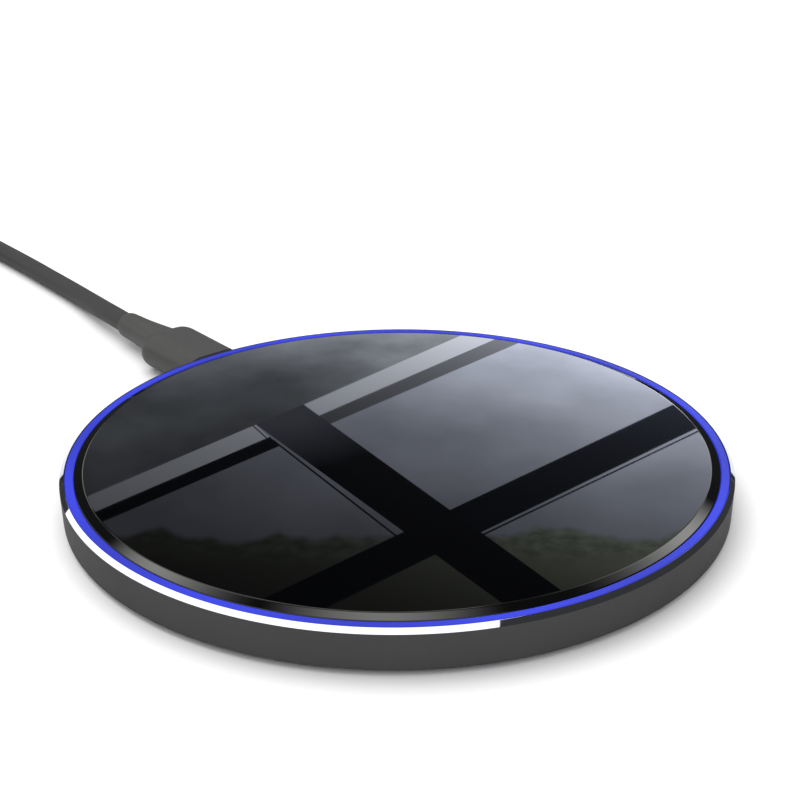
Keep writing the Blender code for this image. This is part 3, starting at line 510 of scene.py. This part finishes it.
def coil_turns():
    """Points along the coil: three turns inward, a climb to the second layer, and three turns outward.

    Angles are degrees of travel. The lower layer steps in, the upper layer steps out, and the cord climbs
    from one to the other each at a place of its own round the coil, so that no turn meets another.
    """
    points = []
    last = 5 * 360 + 180
    for number in range(int(last / COIL_STEP) + 1):
        angle = number * COIL_STEP
        inward = step_up(angle, INWARD_STEP) + step_up(angle, 360 + INWARD_STEP)
        outward = step_up(angle, 3 * 360 + OUTWARD_STEP) + step_up(angle, 4 * 360 + OUTWARD_STEP)
        radius = COIL_OUTER_TURN - CORD_DIAMETER * (inward - outward)
        off_tie = abs((angle - TIE_AZIMUTH + 180) % 360 - 180)
        lift = TIE_SKIN * (1 - step_up(off_tie, 9, 26))
        height = CORD_RADIUS + CORD_DIAMETER * step_up(angle, 2 * 360 + CLIMB) + lift
        x = COIL_CENTRE[0] + radius * math.cos(angle * DEG)
        y = COIL_CENTRE[1] + radius * math.sin(angle * DEG)
        points.append(Vector((x, y, height)))
    return points


def make_cord():
    """The whole lead as one smooth tube, from the plug's bend relief through the coil to the far plug."""
    lead = [Vector(point) * MM for point in LEAD_ROUTE_MM]
    tail = [Vector(point) * MM for point in TAIL_ROUTE_MM]
    route = eased(lead + coil_turns() + tail, 6)
    for place in route:
        place.z = max(place.z, CORD_RADIUS)
    curve = bpy.data.curves.new("power_cord_whole", "CURVE")
    curve.dimensions = "3D"
    curve.bevel_depth = CORD_RADIUS
    curve.bevel_resolution = 6
    curve.use_fill_caps = True
    spline = curve.splines.new("POLY")
    spline.points.add(len(route) - 1)
    for point, place in zip(spline.points, route):
        point.co = (*place, 1.0)
    spline.use_smooth = True
    cord = bpy.data.objects.new("power_cord_whole", curve)
    bpy.context.scene.collection.objects.link(cord)
    painted(cord, JACKET)
    stands_for(cord, "cable", "cord_jacket", "power_cord", "power_cord_coil", "power_cord_tail")
    return cord


def make_tie():
    """A woven strap round the coil's section."""
    low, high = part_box("coil_tie")
    middle_y, middle_z = (low.y + high.y) / 2, (low.z + high.z) / 2
    deep, tall = high.y - low.y, high.z - low.z
    edge = 0.15 * MM
    builder = bmesh.new()
    rings = []
    for x, shrink in ((low.x, edge), (low.x + edge, 0.0), (high.x - edge, 0.0), (high.x, edge)):
        rings.append((x, deep - 2 * shrink, tall - 2 * shrink, 2.0 * MM - shrink))
    for x, shrink in ((high.x, -edge), (high.x - edge, 0.0), (low.x + edge, 0.0), (low.x, -edge)):
        skin_off = 2 * (TIE_SKIN + shrink)
        rings.append((x, deep - skin_off, tall - skin_off, 1.5 * MM))
    loops = []
    for x, wide, high_side, corner in rings + rings[:1]:
        outline = rounded_outline(wide, high_side, corner, 7)
        loops.append([Vector((x, middle_y + point.x, middle_z + point.y)) for point in outline])
    skin(builder, loops, close_ends=False)
    bmesh.ops.remove_doubles(builder, verts=builder.verts, dist=0.000001)
    strap = painted(finished("coil_tie_strap", builder), STRAP)
    return stands_for(strap, "cable", "tie_strap", "coil_tie")


# ---------------------------------------------------------------- the pad

def make_glass():
    """The glass disc: a dead flat top, a soft turn-over and a bevel down to the light."""
    low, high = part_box("top_glass")
    flat_radius = high.x - 1.35 * MM
    corners = (
        (0.0, high.z, 0.0), (flat_radius, high.z, 0.9 * MM), (high.x, high.z - 0.45 * MM, 0.2 * MM),
        (high.x, low.z, 0.1 * MM), (0.0, low.z, 0.0),
    )
    glass = painted(turned("glass_disc", corners, closed=False, smooth_angle=60), GLASS)
    return stands_for(glass, "pad", "black_glass", "top_glass")


def make_light_ring():
    """The glowing ring and its flange under the glass, notched over the socket."""
    low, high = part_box("light_guide_ring")
    glass_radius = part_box("top_glass")[1].x
    inner = glass_radius + GAP
    flange_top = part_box("top_glass")[0].z - 0.05 * MM
    corners = (
        (high.x, high.z, 0.15 * MM), (high.x, low.z, 0.0), (inner - 1.1 * MM, low.z, 0.0),
        (inner - 1.1 * MM, flange_top, 0.0), (inner, flange_top, 0.0), (inner, high.z, 0.12 * MM),
    )
    ring = turned("glow_ring", corners)
    socket_low, socket_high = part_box("usb_c_socket_shell")
    side = 0.5 * MM
    notch = block("notch_tool", (socket_low.x - side, socket_low.y, low.z - 1 * MM),
                  (socket_high.x + side, high.y + 1 * MM, socket_high.z + 0.15 * MM))
    painted(cut(ring, notch), LIGHT)
    return stands_for(ring, "pad", "light_guide", "light_guide_ring")


def make_rim():
    """The metal band: satin wall, diamond-cut bevel, and the socket's slot."""
    low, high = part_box("housing_rim")
    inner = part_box("light_guide_ring")[1].x + GAP
    wall_top = high.z - 0.65 * MM
    corners = (
        (inner, high.z, 0.04 * MM), (high.x, wall_top, 0.06 * MM),
        (high.x - 0.1 * MM, low.z + 0.2 * MM, 0.25 * MM), (high.x - 0.35 * MM, low.z, 0.12 * MM),
        (inner, low.z, 0.0),
    )
    rim = turned("metal_rim", corners, smooth_angle=25)
    socket_low, socket_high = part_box("usb_c_socket_shell")
    middle = (socket_low.z + socket_high.z) / 2
    thick = socket_high.z - socket_low.z + 2 * GAP
    wide = socket_high.x - socket_low.x + 2 * GAP
    section = (wide, thick, thick / 2)
    past = 5 * MM
    slot = lofted("slot_tool", ((inner - past, *section), (high.x + past, *section)), (0.0, middle))
    cut(rim, slot)
    painted(rim, SATIN)
    rim.data.materials.append(POLISHED)
    for face in rim.data.polygons:
        if face.center.z > wall_top and 0.6 < face.normal.z < 0.8:
            face.material_index = 1
    return stands_for(rim, "pad", "anodised_aluminium", "housing_rim")


def make_feet():
    """Domed-edge rubber feet."""
    for number in range(1, 5):
        low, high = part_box(f"foot_{number}")
        radius = (high.x - low.x) / 2
        centre = ((low.x + high.x) / 2, (low.y + high.y) / 2)
        corners = (
            (0.0, high.z, 0.0), (radius, high.z, 0.1 * MM), (radius, low.z, 0.35 * MM), (0.0, low.z, 0.0),
        )
        foot = painted(turned(f"rubber_foot_{number}", corners, False, 64, centre), FOOT_RUBBER)
        stands_for(foot, "pad", "foot_rubber", f"foot_{number}")


# ---------------------------------------------------------------- the plugs

def make_plug():
    """USB-C plug: rounded overmould, flared bend relief with a lip at the cord, and the steel shell."""
    low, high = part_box("plug_body")
    wide, thick = high.x - low.x, high.z - low.z
    middle = (low.z + high.z) / 2
    front, back = low.y - PLUG_REACH, high.y
    full = thick / 2
    sections = (
        (front, wide - 0.8 * MM, thick - 0.3 * MM, full - 0.15 * MM),
        (front + 0.05 * MM, wide - 0.6 * MM, thick - 0.12 * MM, full - 0.06 * MM),
        (front + 0.15 * MM, wide - 0.5 * MM, thick - 0.02 * MM, full),
        (front + 1.5 * MM, wide - 0.45 * MM, thick, full),
        (back - 4.0 * MM, wide - 0.05 * MM, thick, full),
        (back - 2.0 * MM, wide - 0.05 * MM, thick, full),
        (back - 1.0 * MM, wide - 0.5 * MM, thick - 0.15 * MM, full - 0.08 * MM),
        (back - 0.3 * MM, wide - 1.5 * MM, thick - 0.55 * MM, full - 0.3 * MM),
        (back, wide - 2.8 * MM, thick - 1.0 * MM, full - 0.5 * MM),
    )
    body = painted(lofted("plug_overmould", sections, (0.0, middle)), PLUG_PLASTIC)
    shell_low, shell_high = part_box("plug_shell")
    pocket_wide = shell_high.x - shell_low.x + GAP
    pocket_thick = shell_high.z - shell_low.z + GAP
    section = (pocket_wide, pocket_thick, pocket_thick / 2)
    ends = ((front - 1 * MM, *section), (shell_high.y + GAP, *section))
    pocket = lofted("pocket_tool", ends, (0.0, middle))
    cut(body, pocket)
    stands_for(body, "cable", "plug_plastic", "plug_body")

    low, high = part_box("plug_strain_relief")
    start, end = low.y, high.y
    sections = (
        (start, 7.6 * MM, 5.2 * MM, 2.6 * MM), (start + 2.0 * MM, 6.95 * MM, 5.15 * MM, 2.57 * MM),
        (start + 5.0 * MM, 6.1 * MM, 5.05 * MM, 2.52 * MM), (start + 8.5 * MM, 5.4 * MM, 4.9 * MM, 2.45 * MM),
        (end - 1.8 * MM, 5.05 * MM, 4.85 * MM, 2.42 * MM), (end - 0.9 * MM, 4.95 * MM, 4.8 * MM, 2.4 * MM),
        (end - 0.25 * MM, 4.6 * MM, 4.5 * MM, 2.25 * MM), (end, 4.0 * MM, 4.0 * MM, 2.0 * MM),
    )
    relief = painted(lofted("plug_bend_relief", sections, (0.0, middle)), PLUG_PLASTIC)
    stands_for(relief, "cable", "plug_plastic", "plug_strain_relief")

    shell_wide, shell_thick = shell_high.x - shell_low.x, shell_high.z - shell_low.z
    metal = 0.3 * MM
    outer = (shell_wide, shell_thick, shell_thick / 2)
    inner = (shell_wide - 2 * metal, shell_thick - 2 * metal, shell_thick / 2 - metal)
    shell = painted(sleeve("plug_steel_shell", outer, inner, shell_low.y, shell_high.y, (0.0, middle)), STEEL)
    stands_for(shell, "cable", "plated_steel", "plug_shell")
    return [body, relief, shell]


def make_far_plug():
    """USB-A plug: soft-cornered overmould, bend relief and a shell with four latch windows."""
    low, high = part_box("usb_a_body")
    wide, thick = high.x - low.x, high.z - low.z
    axis = ((low.x + high.x) / 2, (low.z + high.z) / 2)
    front, back = low.y, high.y
    corner = 2.2 * MM
    sections = (
        (front, wide - 0.9 * MM, thick - 0.9 * MM, corner - 0.4 * MM),
        (front + 0.5 * MM, wide, thick, corner),
        (front + 3 * MM, wide, thick, corner),
        (back - 4 * MM, wide, thick, corner),
        (back - 1.5 * MM, wide - 0.8 * MM, thick - 0.3 * MM, corner),
        (back - 0.4 * MM, wide - 2.4 * MM, thick - 0.8 * MM, corner),
        (back, wide - 4.2 * MM, thick - 1.5 * MM, corner),
    )
    body = painted(lofted("usb_a_overmould", sections, axis), PLUG_PLASTIC)
    shell_low, shell_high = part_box("usb_a_shell")
    shell_wide, shell_thick = shell_high.x - shell_low.x, shell_high.z - shell_low.z
    section = (shell_wide + GAP, shell_thick + GAP, 0.5 * MM)
    pocket = lofted("far_pocket_tool", ((front - 1 * MM, *section), (shell_high.y + GAP, *section)), axis)
    cut(body, pocket)
    stands_for(body, "cable", "plug_plastic", "usb_a_body")

    low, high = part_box("usb_a_strain_relief")
    sections = (
        (low.y, 8.0 * MM, 5.6 * MM, 2.8 * MM), (low.y + 3.0 * MM, 6.6 * MM, 5.3 * MM, 2.6 * MM),
        (low.y + 7.0 * MM, 5.4 * MM, 4.9 * MM, 2.4 * MM), (high.y - 1.2 * MM, 4.9 * MM, 4.7 * MM, 2.35 * MM),
        (high.y - 0.3 * MM, 4.6 * MM, 4.5 * MM, 2.25 * MM), (high.y, 4.1 * MM, 4.1 * MM, 2.05 * MM),
    )
    relief = painted(lofted("usb_a_bend_relief", sections, axis), PLUG_PLASTIC)
    stands_for(relief, "cable", "plug_plastic", "usb_a_strain_relief")

    metal = 0.3 * MM
    outer = (shell_wide, shell_thick, 0.5 * MM)
    inner = (shell_wide - 2 * metal, shell_thick - 2 * metal, 0.25 * MM)
    shell = sleeve("usb_a_steel_shell", outer, inner, shell_low.y, shell_high.y, axis)
    middle = Vector((axis[0], shell_low.y + 6.2 * MM, axis[1]))
    half = Vector((1.2 * MM, 1.1 * MM, 0.6 * MM))
    windows = []
    for side_x in (-1, 1):
        for side_z in (-1, 1):
            centre = middle + Vector((side_x * 2.9 * MM, 0.0, side_z * shell_thick / 2))
            windows.append(block("window_tool", centre - half, centre + half))
    cut(shell, *windows)
    painted(shell, STEEL)
    stands_for(shell, "cable", "plated_steel", "usb_a_shell")
    return [body, relief, shell]


def paint_cad_nodes():
    """Every CAD node that still shows gets its slot's material."""
    for row in frame["record"]["subparts"]:
        node = frame["nodes"][row["node"]]
        if not node.hide_render:
            painted(node, SLOT_PAINTS[row["material_slot"]])
            node.data.shade_smooth()
            node.data.set_sharp_from_angle(angle=30 * DEG)


# ---------------------------------------------------------------- the studio

def stage_plane(name, corners, material, height):
    """A flat card with its corners in the plane of its parent."""
    builder = bmesh.new()
    builder.faces.new([builder.verts.new((x, y, height)) for x, y in corners])
    mesh = bpy.data.meshes.new(name)
    builder.to_mesh(mesh)
    builder.free()
    card = bpy.data.objects.new(name, mesh)
    bpy.context.scene.collection.objects.link(card)
    mesh.materials.append(material)
    return card


def make_floor():
    """A pale matt table top that runs out of sight."""
    floor_paint = Paint("pale_floor", (0.75, 0.75, 0.75), 0.9, Specular_IOR_Level=0.1)
    floor_paint.vary(floor_paint.noise(40, 2), (0.745, 0.745, 0.745), (0.755, 0.755, 0.755))
    reach = FLOOR_REACH
    corners = ((-reach, -reach), (reach, -reach), (reach, reach), (-reach, reach))
    return stage_plane("floor", corners, floor_paint.material, 0.0)


def make_world():
    """White to the eye, soft daylight on surfaces, and a dim room in reflections."""
    world = bpy.data.worlds.new("studio")
    bpy.context.scene.world = world
    world.use_nodes = True
    tree = world.node_tree
    tree.nodes.clear()
    rays = tree.nodes.new("ShaderNodeLightPath")
    output = tree.nodes.new("ShaderNodeOutputWorld")
    previous = None
    for strength, ray in ((DAYLIGHT, None), (BACKDROP, "Is Camera Ray"), (ROOM_IN_MIRRORS, "Is Glossy Ray")):
        sky = tree.nodes.new("ShaderNodeBackground")
        sky.inputs["Color"].default_value = (1.0, 1.0, 1.0, 1.0)
        sky.inputs["Strength"].default_value = strength
        if ray is None:
            previous = sky.outputs[0]
            continue
        mix = tree.nodes.new("ShaderNodeMixShader")
        tree.links.new(rays.outputs[ray], mix.inputs[0])
        tree.links.new(previous, mix.inputs[1])
        tree.links.new(sky.outputs[0], mix.inputs[2])
        previous = mix.outputs[0]
    tree.links.new(previous, output.inputs["Surface"])


def make_key_light():
    """A broad soft light from behind the pad, as from a window."""
    data = bpy.data.lights.new("key", "SUN")
    data.energy = KEY_STRENGTH
    data.angle = KEY_SPREAD
    key = bpy.data.objects.new("key", data)
    bpy.context.scene.collection.objects.link(key)
    turn = Matrix.Rotation(VIEW_AZIMUTH, 3, "Z")
    key.rotation_mode = "QUATERNION"
    key.rotation_quaternion = (turn @ Vector(KEY_TOWARD)).to_track_quat("Z", "Y")
    key.visible_glossy = False


def glow_material(name, tone_at):
    """An emitting material whose colour is built by tone_at(paint)."""
    paint = Paint(name, (0.0, 0.0, 0.0), 1.0)
    tree = paint.tree
    emission = tree.nodes.new("ShaderNodeEmission")
    tree.links.new(tone_at(paint), emission.inputs["Color"])
    tree.links.new(emission.outputs[0], tree.nodes["Material Output"].inputs["Surface"])
    return paint.material


def rising(paint, base, growth):
    """Brightness that grows from front left to back right, over the pad's radius."""
    split = paint.node("ShaderNodeSeparateXYZ", {0: paint.where})
    right = paint.math("MULTIPLY", split.outputs["X"], 0.6 / 0.05)
    ahead = paint.math("MULTIPLY", split.outputs["Y"], 0.8 / 0.05)
    slope = paint.math("MULTIPLY", paint.math("ADD", right, ahead), growth)
    return paint.math("MULTIPLY", paint.math("EXPONENT", slope), base)


def tinted(paint, brightness, colour):
    """A grey brightness times a colour."""
    return paint.node("ShaderNodeVectorMath", {0: colour, "Scale": brightness}, operation="SCALE").outputs[0]


def sky_tone(paint):
    """Overcast sky over a dark line of trees and a field."""
    clouds = paint.spread(paint.noise(45, 5, roughness=0.5), 0.8, 1.2)
    clear = paint.math("MAXIMUM", rising(paint, 0.85, 1.75), 0.22)
    sky = tinted(paint, paint.math("MULTIPLY", clear, clouds), (0.93, 1.0, 1.2))
    leaves = paint.spread(paint.noise(500, 4), 0.7, 1.4)
    trees = tinted(paint, paint.math("MULTIPLY", rising(paint, 0.67, 2.75), leaves), (0.88, 1.0, 0.8))
    grass = tinted(paint, rising(paint, 0.95, 3.4), (0.92, 1.0, 0.8))
    height = paint.node("ShaderNodeSeparateXYZ", {0: paint.where}).outputs["Y"]
    flat = paint.node("ShaderNodeMapping", {"Vector": paint.where, "Scale": (1.0, 0.0, 0.0)})
    crest = paint.spread(paint.noise(75, 4, flat.outputs["Vector"]), -0.0315, -0.0245)
    soft = 0.0009
    below = paint.spread(paint.math("SUBTRACT", crest, height), 0.0, 1.0, -soft, soft)
    field = paint.spread(height, 1.0, 0.0, -0.036, -0.032)
    return paint.mixed(below, sky, paint.mixed(field, trees, grass))


def bright_sky_tone(paint):
    """The slivers of sky beside the bars, brighter than the rest."""
    return tinted(paint, rising(paint, 1.5, 1.15), (0.95, 1.0, 1.12))


def off_crossing(paint):
    """The distance from where the upright bar meets the wall."""
    ends = {0: paint.where, 1: (-0.0185, 0.011, 0.0)}
    return paint.node("ShaderNodeVectorMath", ends, operation="DISTANCE").outputs["Value"]


def wall_tone(paint):
    """The dim room beside the window, lightest in its far corner and black where the bars meet it."""
    clouds = paint.spread(paint.noise(55, 5), 0.6, 1.45)
    shade = paint.spread(off_crossing(paint), 0.45, 1.0, 0.002, 0.028)
    lit = paint.math("MULTIPLY", rising(paint, 0.52, 1.6), shade)
    return tinted(paint, paint.math("MULTIPLY", lit, clouds), (0.92, 1.0, 1.12))


def bar_tone(paint):
    """Near-black window bars."""
    return tinted(paint, rising(paint, 0.035, 2.2), (0.8, 0.92, 1.3))


def upright_tone(paint):
    """The upright bar, as light as the wall where the two meet, and near black further down."""
    joined = paint.spread(off_crossing(paint), 0.19, 0.0, 0.004, 0.02)
    lit = paint.math("ADD", rising(paint, 0.03, 2.2), joined)
    return tinted(paint, lit, (0.88, 0.96, 1.2))


def pale_bar_tone(paint):
    """The bar that catches daylight."""
    return tinted(paint, rising(paint, 0.25, 1.9), (0.95, 1.0, 1.15))


def make_window():
    """The window that the glass mirrors: sky, a dim wall to its left, and the bars between its panes.

    It lies level, high ahead of the pad. A level card mirrored in a level glass keeps its shape, so the
    corners are given by where they show in the glass: millimetres right and ahead of the pad's centre.
    """
    scale = WINDOW_SCALE
    glass_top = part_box("top_glass")[1].z
    eye = Vector(CAMERA_PLACE)
    mirrored_eye = Vector((eye.x, eye.y, 2 * glass_top - eye.z))
    holder = bpy.data.objects.new("window_holder", None)
    bpy.context.scene.collection.objects.link(holder)
    centre = Vector((0.0, 0.0, glass_top))
    turn = Matrix.Rotation(VIEW_AZIMUTH, 4, "Z")
    place = mirrored_eye + (centre - mirrored_eye) * scale
    holder.matrix_world = Matrix.Translation(place) @ turn @ Matrix.Diagonal((scale, scale, scale, 1.0))
    sky = glow_material("window_sky", sky_tone)
    wall = glow_material("dim_wall", wall_tone)
    dark = glow_material("window_bars", bar_tone)
    pale = glow_material("pale_window_bar", pale_bar_tone)
    bright = glow_material("bright_sky", bright_sky_tone)
    upright = glow_material("upright_bar", upright_tone)
    cards = [
        ("window_sky", ((-62, -62), (62, -62), (62, 62), (-62, 62)), sky),
        ("window_wall", ((-62, -36.2), (-22, 7.5), (-15, 15), (25, 60.3), (25, 62), (-62, 62)), wall),
        ("window_sliver_high", ((-15, 15), (25, 60.3), (33.5, 60.3), (-12.5, 10.5)), bright),
        ("window_sliver_low", ((-22, 7.5), (-19.5, 3), (-62, -42.5), (-62, -36.2)), bright),
        ("window_bar_high", ((-12.5, 10.5), (33.5, 60.3), (39.9, 60.3), (-10.5, 7.5)), pale),
        ("window_bar_low", ((-19.5, 3), (-17.5, 0), (-62, -46.5), (-62, -42.5)), dark),
        ("window_bar_across",
         ((62, 31), (6.5, -21.5), (-30, -56.2), (-21, -57.1), (7.5, -30.5), (62, 19.7)), dark),
        ("window_bar_down", ((-22, 7.5), (-15, 15), (29.8, -57), (21, -57)), upright),
        ("window_line_across", ((62, 18.7), (10.5, -28.4), (10.6, -28.8), (62, 18.2)), dark),
        ("window_line_down", ((-19, 1.6), (-18.7, 1.8), (0.2, -28.2), (-0.2, -28.2)), dark),
        ("window_line_end", ((-22.33, 7.12), (-19.83, 2.62), (-20.0, 2.43), (-22.5, 6.93)), dark),
    ]
    for number, (name, corners, material) in enumerate(cards):
        mesh_corners = [(x * MM, y * MM) for x, y in corners]
        card = stage_plane(name, mesh_corners, material, -WINDOW_SPACING * number)
        card.parent = holder
        only_in_reflections(card)


def only_in_reflections(card):
    """Let a card show in mirrors and not to the camera, and cast no light or shadow."""
    card.visible_camera = False
    card.visible_diffuse = False
    card.visible_transmission = False
    card.visible_volume_scatter = False
    card.visible_shadow = False


def white_tone(paint):
    """Softbox cloth, very nearly even."""
    return tinted(paint, paint.spread(paint.noise(3, 2), 2.0, 2.15), (1.0, 1.0, 1.0))


def line_tone(paint):
    """The softer light that draws a line along the glass's rounded edge."""
    return tinted(paint, paint.spread(paint.noise(2, 2), 1.3, 1.5), (1.0, 1.0, 0.96))


def shade_tone(paint):
    """Something dark lying on the table, out of the picture."""
    return tinted(paint, paint.spread(paint.noise(5, 3), 0.02, 0.04), (0.8, 0.92, 1.2))


def lamp_tone(paint):
    """A round lamp that fades to nothing at its edge; the card's own size sets how far that is."""
    distance = paint.node("ShaderNodeVectorMath", {0: paint.where}, operation="LENGTH").outputs["Value"]
    inputs = {"Value": distance, "From Min": 1.0, "From Max": 0.0, "To Min": 0.06, "To Max": 3.6}
    fade = paint.node("ShaderNodeMapRange", inputs, interpolation_type="SMOOTHSTEP")
    return tinted(paint, fade.outputs["Result"], (1.0, 1.0, 0.98))


def overhead_card(name, corners, material, height=1.0):
    """A level card above the pad, with corners in metres right and ahead of it, that only mirrors show."""
    card = stage_plane(name, corners, material, height)
    card.rotation_euler = (0.0, 0.0, VIEW_AZIMUTH)
    only_in_reflections(card)
    return card


def make_softboxes():
    """What the bevels mirror: a long white softbox for the rim; lamps and a strip for the glass's edge."""
    white = (
        (0.477, -0.9), (0.477, -0.15), (-0.5, -0.1), (-1.4, 0.6), (-2.2, 1.6), (-3.2, 3.0), (-4.4, 4.6),
        (-5.5, 3.8), (-4.4, 2.0), (-3.2, 0.6), (-2.2, -0.4), (-1.0, -0.95),
    )
    overhead_card("softbox", white, glow_material("softbox", white_tone))
    strip = (
        (-1.1, 3.3), (-1.15, 2.4), (-0.98, 1.75), (-0.72, 1.25), (-0.42, 0.95), (0.0, 0.82), (0.42, 0.95),
        (0.66, 1.3), (0.9, 2.0), (1.3, 2.9), (0.75, 2.9), (0.68, 2.0), (0.55, 1.42), (0.0, 1.38),
        (-0.55, 1.42), (-0.68, 2.0), (-0.9, 2.7),
    )
    overhead_card("edge_strip", strip, glow_material("edge_strip", line_tone), 1.02)
    lamp_glow = glow_material("lamp", lamp_tone)
    circle = [(math.cos(step * 10 * DEG), math.sin(step * 10 * DEG)) for step in range(36)]
    turn = Matrix.Rotation(VIEW_AZIMUTH, 3, "Z")
    for number, (x, y, radius) in enumerate(((-0.61, 0.69, 0.42), (-0.04, 0.33, 0.29), (0.82, 1.02, 0.7))):
        lamp = overhead_card(f"lamp_{number + 1}", circle, lamp_glow, 0.0)
        lamp.location = turn @ Vector((x, y, 0.98))
        lamp.scale = (radius, radius, radius)
    shade = glow_material("dark_table", shade_tone)
    overhead_card("dark_table_right", ((0.02, 0.13), (3.0, 0.13), (3.0, 6.0), (0.02, 6.0)), shade, 0.3 * MM)
    overhead_card("dark_table_left", ((-3.0, 0.14), (0.02, 0.14), (0.02, 6.0), (-3.0, 6.0)), shade, 0.3 * MM)


make_camera()
tie = make_tie()
near_plug = make_plug()
far_plug = make_far_plug()
make_cord()
make_glass()
make_light_ring()
make_rim()
make_feet()
paint_cad_nodes()
make_floor()
make_world()
make_key_light()
make_window()
make_softboxes()
bpy.context.scene.view_settings.view_transform = "Standard"
